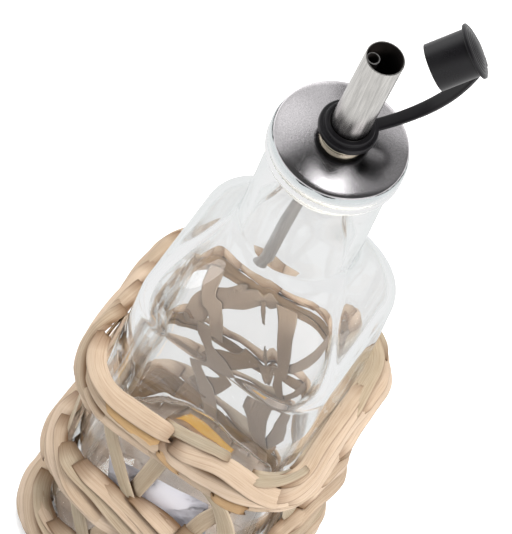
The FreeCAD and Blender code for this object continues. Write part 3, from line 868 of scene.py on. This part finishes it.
def on_course(distance):
    """Point, outward and forward directions at a distance round the jacket from its front middle."""
    quarter = math.floor((distance + COURSE_FLAT) / QUARTER)
    local = distance - quarter * QUARTER
    arc = COURSE_CORNER * math.pi / 2.0
    if local <= COURSE_FLAT:
        point = Vector((local, -COURSE_HALF, 0.0))
        outward = Vector((0.0, -1.0, 0.0))
    elif local <= COURSE_FLAT + arc:
        angle = (local - COURSE_FLAT) / COURSE_CORNER
        outward = Vector((math.sin(angle), -math.cos(angle), 0.0))
        point = Vector((COURSE_FLAT, -COURSE_FLAT, 0.0)) + outward * COURSE_CORNER
    else:
        point = Vector((COURSE_HALF, -COURSE_FLAT + local - COURSE_FLAT - arc, 0.0))
        outward = Vector((1.0, 0.0, 0.0))
    turn = Matrix.Rotation(quarter * math.pi / 2.0, 3, "Z")
    point = turn @ point
    outward = turn @ outward
    return point, outward, Vector((-outward.y, outward.x, 0.0))


def drift(value, seed, scale=0.03):
    """A slow wander between about -1 and 1."""
    return 1.6 * noise.noise(Vector((value * scale, seed * 3.71, seed * 1.37)))


def upward(height):
    """A step straight up."""
    return Vector((0.0, 0.0, height))


def slanted(outward, angle):
    """A direction turned up from outwards by an angle."""
    return outward * math.cos(angle) + upward(math.sin(angle))


def spread(points):
    """A smooth run through control points, each a tuple, for a share from 0 to 1."""
    count = len(points) - 1

    def at(share):
        place = min(max(share, 0.0), 1.0) * count
        index = min(int(place), count - 1)
        local = place - index
        before = points[max(index - 1, 0)]
        after = points[min(index + 2, count)]
        values = []
        for a, b, c, d in zip(before, points[index], points[index + 1], after):
            values.append(0.5 * (2 * b + (c - a) * local + (2 * a - 5 * b + 4 * c - d) * local ** 2
                                 + (3 * b - a - 3 * c + d) * local ** 3))
        return values
    return at


def leaf_work():
    """Empty mesh work, with the shares that the leaf finish reads."""
    work = bmesh.new()
    return work, [work.verts.layers.float.new(name) for name in STRIP_SHARES]


def add_leaf(work, layers, centre, facing, width, length, tone, seed, thick=LEAF_THICK, crown=0.1,
             fold=0.0, cells=None, around=12, raw=False, torn=0.0, tuck_shade=None):
    """One leaf strip: a flat closed sleeve drawn along a path.

    centre, facing and width give its middle, its outward direction and its breadth at a share of the
    length. crown and fold lift its middle line, torn frays its ends, the tuck function gives the painted
    shade where it goes under its neighbours, and a raw strip shows its rough inner side all round."""
    cells = cells or max(8, int(length / 2.0))
    fresh = bmesh.ops.create_grid(work, x_segments=cells, y_segments=around, size=0.5)["verts"]
    rows = {}
    for vert in fresh:
        rows.setdefault(round(vert.co.x, 5), []).append(vert)
    step = 0.5 / cells
    for key, verts in rows.items():
        share = key + 0.5
        point = centre(share)
        way = (centre(min(share + step, 1.0)) - centre(max(share - step, 0.0))).normalized()
        out = facing(share)
        out = (out - way * out.dot(way)).normalized()
        side = way.cross(out)
        half = width(share) / 2.0
        ragged = torn * max(0.0, share - 0.9, 0.1 - share) * 10.0
        for vert in verts:
            turn = (vert.co.y + 0.5) * TURN
            across = math.cos(turn)
            lift = math.sin(turn)
            ripple = 0.1 * drift(share * length, seed + 9.0 + across, 0.25)
            bow = crown * (1.0 - across * across) + fold * (1.0 - abs(across - 0.15)) + ripple
            inner = 1.0 if raw or lift < -0.01 else 0.0
            # painted shade where the strip goes under its neighbours
            hidden = tuck_shade(share, across) if tuck_shade else 0.0
            for layer, value in zip(layers, (share * length, across, tone, inner, hidden)):
                vert[layer] = value
            fray = ragged * noise.noise(Vector((across * 5.0, seed * 5.3, share)))
            vert.co = point + side * across * half + out * (lift * thick / 2.0 + bow) + way * fray
    bmesh.ops.remove_doubles(work, verts=fresh, dist=0.001)
    rims = [edge for edge in work.edges if edge.is_boundary]
    bmesh.ops.holes_fill(work, edges=rims, sides=0)


def settle(point, height):
    """How far the weave has slipped: a little up at the front, down at the back, still at the foot."""
    back = (point.y + COURSE_HALF) / (2.0 * COURSE_HALF)
    share = min(max((height - 16.0) / 24.0, 0.0), 1.0)
    return (BAND_LIFT - (BAND_LIFT + BAND_SAG) * back) * share * share * (3.0 - 2.0 * share)


def jacket_spot(distance, out, height):
    """A point of the slipped weave: a distance round it, out from its course, and its height."""
    point, outward, _ = on_course(distance)
    return point + outward * out + upward(height + settle(point, height))


# ---------------- bands

# strips face further up than the section does, but no further than the steepest
TILT = math.radians(34.0)
STEEPEST = 1.75
# a strip torn more than this keeps its far end out
LOOSE_TORN = 1.5


def pinch(distance):
    """How tightly the strips draw together: most at the corners, some at mid face."""
    swing = math.cos(TURN * distance / QUARTER)
    return 0.2 * (0.5 - 0.5 * swing) ** 4 + 0.05 * (0.5 + 0.5 * swing) ** 4


def lapped_strip(work, layers, section, strip, seed):
    """One strip laid along a band, round the outside of its rounded section.

    section is the height of the band's foot, how far its middle lies above that, and how far it
    reaches above its middle.
    strip is (start, end, width, tone, stand, torn, turns): stand is how far it lies out from the
    section, and turns is how far up the section it lies, in degrees, at even steps along it."""
    base, middle, half = section
    start, end, width, tone, stand, torn, turns = strip
    length = end - start
    run = spread([(turn,) for turn in turns])
    # a strip that lies high and does not cross to the foot shows both of its edges
    both_edges = max(turns) > 39.0 and turns[0] * turns[-1] > -800.0

    def section_angle(share):
        distance = start + share * length
        return math.radians(run(share)[0] + 5.0 * drift(distance, seed + 7.0))

    def centre(share):
        distance = start + share * length
        angle = section_angle(share)
        loose = 1.0 - pinch(distance)
        # its ends dip under its neighbours
        hidden = 1.5 * max(1.0 - share / 0.16, 0.0) ** 1.4
        if torn < LOOSE_TORN:
            hidden += 1.5 * max((share - 0.86) / 0.14, 0.0)
        reach = BAND_DEEP * loose + stand - hidden + 0.35 * drift(distance, seed + 4.0, 0.05)
        lift = middle + (half * loose + 0.4 * stand) * math.sin(angle)
        out = BAND_OUT + reach * math.cos(angle) - BAND_LEAN * math.sin(angle)
        return jacket_spot(distance, out, base + lift)

    def facing(share):
        distance = start + share * length
        angle = section_angle(share)
        rise = math.atan2(math.sin(angle) * BAND_DEEP, math.cos(angle) * half)
        rise = min(rise + TILT, STEEPEST) + 0.18 * drift(distance, seed + 11.0, 0.06)
        return slanted(on_course(distance)[1], rise)

    def breadth(share):
        taper = max(min(share / 0.12, (1.0 - share) / 0.05, 1.0), 0.0)
        uneven = 1.0 + 0.14 * drift(share * length, seed + 15.0, 0.07)
        return width * (0.8 + 0.2 * taper) * uneven

    # painted shade: dark at the strip's ends and along its edges, where it goes under its neighbours
    def tuck_shade(share, across):
        ends = max(1.0 - share / 0.14, 0.0) + 0.5 * max((share - 0.9) / 0.1, 0.0)
        edge = 0.9 * max((across - 0.9) / 0.1, 0.0)
        if both_edges:
            edge += 0.5 * max((-across - 0.9) / 0.1, 0.0)
        else:
            edge += min(share / 0.25, 1.0) * max((-across - 0.1) / 0.6, 0.0) ** 1.4
        return min(0.8 * ends + 0.85 * edge, 0.92)

    add_leaf(work, layers, centre, facing, breadth, length, tone, seed, crown=0.12, fold=0.3,
             cells=int(length), around=20, raw=tone > RAW_TONE, torn=torn, tuck_shade=tuck_shade)


def lining(work, layers, base, height, width, seed):
    """A plain strip that runs once round inside a band, its rough side out."""
    length = ROUND + 5.0
    begin = 1.5 * QUARTER + seed

    def centre(share):
        distance = begin + share * length
        out = LINING_OUT + 0.2 * drift(distance, seed + 1.0)
        return jacket_spot(distance, out, base + height + 0.5 * drift(distance, seed))

    def facing(share):
        distance = begin + share * length
        return slanted(on_course(distance)[1], 0.3 * drift(distance, seed + 2.0))

    add_leaf(work, layers, centre, facing, lambda share: width, length, 0.5, seed, cells=150, raw=True)


# The strips that show on the front and right of the top band, as lapped_strip reads them
SHOWN_STRIPS = (
    (-44, -1.5, 6.2, 0.6, 1.1, 2, (70, 54, 46, 42, 44)),
    (-6, 16, 4.2, 0.06, -0.6, 0.5, (56, 68, 86)),
    (-1, 38, 6.6, 0.68, 1, 0.8, (16, 34, 50, 46, 20, -8)),
    (-42, 1, 4.4, 0.5, 0.3, 1.2, (26, 12, 2, -8, -14)),
    (-56, -27, 4.8, 0.36, 1.3, 0.9, (78, 46, 8, -24)),
    (-49, -19, 4.2, 0.5, 0.8, 1.2, (56, 20, -10, -30)),
    (-24, -3, 4.6, 0.912, 0.3, 1, (18, 6, -4)),
    (-46, 3, 4.8, 0.64, 0.1, 0.8, (4, -12, -26, -34, -38)),
    (-8, 20, 4.4, 0.5, -0.1, 0.8, (-22, -36, -46, -46)),
    (-4, 42, 5.6, 0.74, 0.4, 0.8, (-2, -10, 0, 4, -6)),
    (4, 46, 4.6, 0.46, 0, 1.4, (-28, -42, -34, -28)),
    (-3, 5, 4.2, 0.905, 1.2, 2.4, (-10, -20, -28)),
    (17, 26, 4.6, 0.905, 1.4, 2.6, (-28, -36, -40)),
    (24, 44, 5, 0.1, -0.5, 0.6, (60, 76, 88)),
    (30, 78, 5.6, 0.72, 1, 0.7, (10, 40, 58, 66, 70)),
    (34, 80, 5, 0.5, 0.3, 0.7, (56, 84, 92, 96)),
    (33, 82, 5.8, 0.8, 0.7, 0.8, (-6, 16, 34, 42, 40)),
    (22, 74, 5.6, 0.7, 0.4, 0.8, (-4, -6, 6, 12, 8)),
    (28, 76, 4.8, 0.76, 0.1, 0.8, (-26, -30, -20, -14)),
    (58, 106, 7.4, 0.84, 1.1, 0.8, (12, 20, 26, 10, -20)),
    (66, 104, 6, 0.24, 0.2, 0.6, (70, 88, 100, 96)),
    (70, 112, 6, 0.5, 0.6, 0.8, (-28, -34, -40, -50)),
    (40, 96, 5, 0.3, -0.6, 0.6, (104, 112, 118, 116, 104)),
    (52, 108, 4.6, 0.46, -1.2, 0.6, (84, 96, 104, 100, 90)),
    (72, 112, 6.4, 0.62, 0.6, 0.8, (50, 56, 40, 20)),
)
# Where the top band's other strips may start, and where they have to end
REST_FROM = 1.5 * QUARTER - 12.0
REST_TO = 3.5 * QUARTER - 16.0
REST_END = 3.5 * QUARTER + 8.0
LINING_OUT = -1.3
LININGS = ((3.8, 5.6), (7.8, 5.4))


def slant_strip(number, count, tones, seed):
    """One of the even strips, which run slantwise from the band's inner top to its outer foot."""
    chance = random.Random(int(seed * 100) + number)
    start = 0.5 * QUARTER + (number + chance.uniform(-0.25, 0.25)) * ROUND / count
    end = start + chance.uniform(36.0, 52.0)
    head = chance.uniform(52.0, 86.0)
    foot = chance.uniform(-46.0, -28.0)
    turns = [head + (foot - head) * step for step in (0.0, 0.2, 0.62, 1.0)]
    width = chance.uniform(4.6, 6.8)
    tone = tones[number % len(tones)] + chance.uniform(-0.1, 0.1)
    stand = 0.7 + chance.uniform(-0.3, 0.4)
    return start, end, width, tone, stand, chance.choice((0.6, 0.8, 1.8)), turns


def make_band(node_name, name, count, middle, tones, seed, material, shown=()):
    """Leaf strips lapped slantwise round the band over a rough lining."""
    work, layers = leaf_work()
    base = cad(node_name)[0].z
    section = (base, middle, BAND_HEIGHT - middle)
    for row, (height, width) in enumerate(LININGS):
        lining(work, layers, base, height, width, seed + row * 5.0)
    for number in range(count):
        start, end, *rest = slant_strip(number, count, tones, seed)
        if shown:
            end = min(end, REST_END)
        if not shown or REST_FROM < start < REST_TO:
            lapped_strip(work, layers, section, (start, end, *rest), seed + number * 1.31)
    for number, strip in enumerate(shown):
        lapped_strip(work, layers, section, strip, seed + 40.0 + number * 1.7)
    make_piece(work, name, [material], [node_name])


# ---------------- stakes and floor

FACES = ("front", "right", "back", "left")
# Stakes of each tier, which cross in two layers: width, tone, then points (across the face, height,
# out from the course)
LOWER_TIER = (
    (4.8, 0.14, ((-8.0, 3.2, -2.4), (-12.0, 12.0, -2.4), (-17.5, 24.0, -2.4), (-22.0, 36.0, -2.4),
                 (-25.5, 50.0, -2.4))),
    (5.2, 0.24, ((15.0, 3.2, -2.4), (13.0, 15.0, -2.4), (8.0, 28.0, -2.4), (3.0, 42.0, -2.4),
                 (1.0, 50.0, -2.4))),
    (5.0, 0.28, ((-17.5, 3.2, -3.3), (-12.0, 18.0, -3.35), (-7.0, 34.0, -3.35), (-3.5, 50.0, -3.3))),
    (5.0, 0.18, ((6.0, 3.2, -3.3), (11.0, 18.0, -3.35), (17.0, 34.0, -3.35), (21.0, 50.0, -3.3))),
)
UPPER_TIER = (
    (4.6, 0.10, ((-2.0, 44.0, -0.9), (-4.8, 48.2, -1.4), (-11.6, 58.7, -2.3), (-19.0, 73.6, -2.4),
                 (-26.5, 91.0, -2.4), (-28.5, 90.5, -2.4))),
    (5.6, 0.16, ((26.0, 46.0, -2.4), (25.7, 60.0, -2.3), (20.5, 71.5, -2.3), (13.9, 77.5, -2.4),
                 (8.5, 88.0, -2.4), (6.5, 90.5, -2.4))),
    (6.0, 0.30, ((-7.5, 44.0, -3.3), (-6.4, 50.0, -3.3), (-3.8, 66.0, -3.35), (-1.5, 82.0, -3.35),
                 (0.5, 90.5, -3.3))),
    (5.0, 0.20, ((13.5, 44.0, -3.3), (17.0, 60.0, -3.35), (22.5, 76.0, -3.35), (24.5, 90.5, -3.3))),
)
TIERS = (("lower", LOWER_TIER, 0.0), ("upper", UPPER_TIER, 3.1))


def stake_leaf(work, layers, points, width, tone, seed):
    """A flat stake through control points (distance round, height, out)."""
    run = spread(points)
    length = 0.0
    for first, second in zip(points, points[1:]):
        length += math.hypot(second[0] - first[0], second[1] - first[1])

    def centre(share):
        distance, height, out = run(share)
        return jacket_spot(distance, out + 0.1 * drift(share * length, seed, 0.05), height)

    def facing(share):
        _, outward, forward = on_course(run(share)[0])
        roll = math.radians(8.0 * drift(share * length, seed + 2.0))
        return outward * math.cos(roll) + forward * math.sin(roll)

    def breadth(share):
        return width * (1.0 + 0.12 * drift(share * length, seed + 5.0, 0.05))

    add_leaf(work, layers, centre, facing, breadth, length, tone, seed, thick=0.7, crown=0.35)


def make_stakes(material):
    """Flat stakes crossing on each face, between the glass and the bands."""
    for face, side in enumerate(FACES):
        for tier, stakes, tier_seed in TIERS:
            work, layers = leaf_work()
            nodes = []
            for number, (width, tone, points) in enumerate(stakes):
                seed = 20.0 + face * 7.3 + number * 1.9 + tier_seed
                chance = random.Random(int(seed * 10))
                nudge = 0.0 if side == "front" else chance.uniform(-1.2, 1.2)
                placed = [(face * QUARTER + x + nudge, height, out) for x, height, out in points]
                broad = width if side == "front" else width * 1.3
                stake_leaf(work, layers, placed, broad, tone + chance.uniform(-0.05, 0.12), seed)
                nodes.append(f"stake_{side}_{tier}_{number + 1}")
            make_piece(work, f"{side}_{tier}_stakes", [material], nodes)


MAT_HALF = 34.4
MAT_CORNER = 16.0
MAT_PITCH = 5.9
MAT_STRIPS = 5
MAT_WAVE = 0.16


def mat_reach(aside):
    """How far a floor strip reaches each way, at a distance aside from the middle."""
    past = abs(aside) - (MAT_HALF - MAT_CORNER)
    if past <= 0.0:
        return MAT_HALF
    return MAT_HALF - MAT_CORNER + math.sqrt(max(MAT_CORNER ** 2 - past ** 2, 0.0))


def mat_strip(work, layers, way, number, middle):
    """One floor strip, in the first or second way, over and under those that cross it."""
    aside = number * MAT_PITCH
    reach = mat_reach(aside)
    sign = 1.0 if (number + way) % 2 else -1.0

    def centre(share):
        run = (share * 2.0 - 1.0) * reach
        height = middle + sign * MAT_WAVE * math.cos(math.pi * run / MAT_PITCH)
        return Vector((aside, run, height)) if way else Vector((run, aside, height))

    add_leaf(work, layers, centre, lambda share: upward(1.0), lambda share: 6.2, 2.0 * reach, 0.0,
             60.0 + number * 1.7 + way * 31.0, thick=0.6, crown=0.02, cells=int(2.0 * reach / 1.4),
             around=8, raw=True)


def make_mat(material):
    """The woven floor, cut to the jacket's outline, with one loose ochre end lying on it, which glows as
    painted light.
    """
    work, layers = leaf_work()
    low, high = cad("base_mat")
    for way in range(2):
        for number in range(-MAT_STRIPS, MAT_STRIPS + 1):
            mat_strip(work, layers, way, number, (low.z + high.z) / 2.0)

    def loose_end(share):
        return Vector((-13.6 + 18.0 * share, 30.8 - 2.6 * share, high.z - 0.2))

    # its tone of 1.0 makes this end glow as painted light
    add_leaf(work, layers, loose_end, lambda share: upward(1.0), lambda share: 3.0, 18.0, 1.0, 90.0,
             cells=20, around=16, raw=True, torn=3.0)
    make_piece(work, "woven_floor", [material], ["base_mat"])


# ---------------- putting it together

def make_floor():
    """A wide plain floor under the bottle, which is not part of it."""
    work = bmesh.new()
    bmesh.ops.create_grid(work, x_segments=1, y_segments=1, size=3.0)
    mesh = bpy.data.meshes.new("floor")
    work.to_mesh(mesh)
    work.free()
    mesh.materials.append(floor_material())
    floor = bpy.data.objects.new("floor", mesh)
    bpy.context.scene.collection.objects.link(floor)
    return floor


make_camera()
make_world()
make_lamp("soft_right", (0.8, -0.25, 0.75), (0.0, 0.0, 0.1), 0.45, 13.0, (1.0, 0.97, 0.94))
make_lamp("soft_top", (-0.45, 0.45, 1.05), (0.0, 0.0, 0.12), 0.5, 8.0)
make_lamp("soft_left", (-0.8, -0.4, 0.55), (0.0, 0.0, 0.08), 0.7, 5.0, (0.98, 0.99, 1.0))
floor = make_floor()

plate_steel = steel_material("polished_steel", (0.84, 0.81, 0.83, 1.0), 0.02, 3400.0, 0.00004)
collar_steel = steel_material("collar_steel", (0.86, 0.79, 0.62, 1.0), 0.08, 1800.0, 0.00002)
lengthwise = (1.0, 1.0, 0.06)
tube_steel = steel_material("drawn_steel", (0.78, 0.76, 0.73, 1.0), 0.17, 1400.0, 0.00003, lengthwise)
air_steel = steel_material("air_tube_steel", (0.55, 0.54, 0.53, 1.0), 0.3, 1400.0, 0.00004, lengthwise)
bore_shade = bore_shade_material()
leaf = leaf_material()

make_glass(glass_material())
make_stopper(milky_material())
make_plate(plate_steel)
make_collar(collar_steel)
make_tube("pouring_tube", "spout_tube", SPOUT_RADIUS, -11.0, 42.5, gear_place(),
          [tube_steel, bore_shade], 72)
make_tube("thin_air_tube", "air_tube", 2.0, -65.0, 41.3,
          gear_place(AIR_SIDE) @ Matrix.Translation((3.05, 0.0, 0.0)), [air_steel, bore_shade], 40)
make_closure(black_material())
make_label(paper_material())

make_band("top_band", "lapped_top_band", 26, 6.8, (0.34, 0.66, 0.5, 0.8, 0.42, 0.58), 1.0, leaf,
          SHOWN_STRIPS)
make_band("middle_band", "lapped_middle_band", 27, 7.0, (0.3, 0.6, 0.44, 0.7, 0.5), 31.0, leaf)
make_band("bottom_band", "lapped_bottom_band", 27, 8.6, (0.6, 0.4, 0.72, 0.5, 0.3), 61.0, leaf)
make_stakes(leaf)
make_mat(leaf)

bpy.context.scene.view_settings.view_transform = "Standard"
